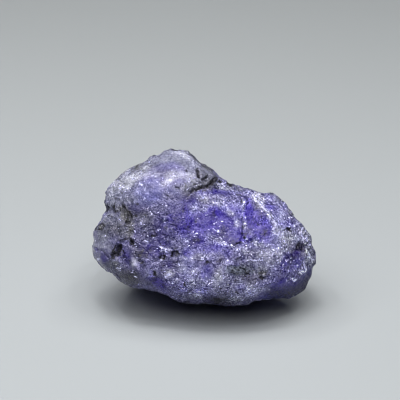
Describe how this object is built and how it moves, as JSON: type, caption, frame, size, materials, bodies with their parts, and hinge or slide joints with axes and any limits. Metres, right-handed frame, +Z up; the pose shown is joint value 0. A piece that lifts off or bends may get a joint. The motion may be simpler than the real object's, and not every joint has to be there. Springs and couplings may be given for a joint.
{
  "type": "rough tanzanite",
  "caption": "Lump of rough tanzanite: granular violet-blue stone with pale grey-lilac zones, black specks and small pits, lying on its own underside.",
  "frame": {"origin": "on the surface the stone rests on, under the middle of its box", "axes": "+X along the stone's length, +Z up, the broad granular face towards -Y"},
  "size_m": [0.0318, 0.0226, 0.0211],
  "materials": {
    "tanzanite": "granular broken surface, violet-blue to pale lilac-grey, with a vitreous sparkle on its grains"
  },
  "bodies": {
    "root": {"rough_tanzanite": "tanzanite"}
  },
  "joints": []
}
